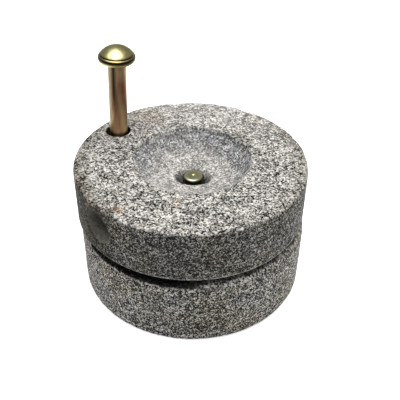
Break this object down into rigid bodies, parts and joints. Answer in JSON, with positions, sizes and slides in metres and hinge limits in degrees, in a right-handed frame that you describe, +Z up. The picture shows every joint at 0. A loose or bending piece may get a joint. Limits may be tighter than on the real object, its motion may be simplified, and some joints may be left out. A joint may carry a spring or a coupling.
{
  "type": "rotary quern",
  "caption": "Small two-stone granite hand mill: a runner stone with a dished hopper turns on a steel spindle set in a bedstone, driven by a loose dome-headed handle pin.",
  "frame": {"origin": "centre of the bedstone's flat base, on the spindle's axis", "axes": "+Z up along the spindle's axis; the handle pin stands at the back left, at minus X and plus Y; the meal outlet is at the front left, at minus X and minus Y"},
  "size_m": [0.1514, 0.15, 0.1486],
  "materials": {
    "granite": "matte",
    "zinced_steel": "satin",
    "setting_mortar": "matte"
  },
  "bodies": {
    "bed": {"bedstone": "granite", "spindle_setting": "setting_mortar"},
    "spindle": {"spindle": "zinced_steel"},
    "runner": {"runner_stone": "granite"},
    "handle": {"handle_pin": "zinced_steel"}
  },
  "joints": [
    {"name": "runner_spin", "type": "hinge", "parent": "bed", "child": "spindle", "pos_m": [0, 0, 0.0512], "axis": [0, 0, 1], "continuous": true},
    {"name": "runner_lift", "type": "slide", "parent": "spindle", "child": "runner", "axis": [0, 0, 1], "range_m": [0, 0.06]},
    {"name": "handle_spin", "type": "hinge", "parent": "runner", "child": "handle", "pos_m": [-0.05183, 0.034, 0.06543], "axis": [0.0384, 0, 0.9993], "continuous": true}
  ]
}
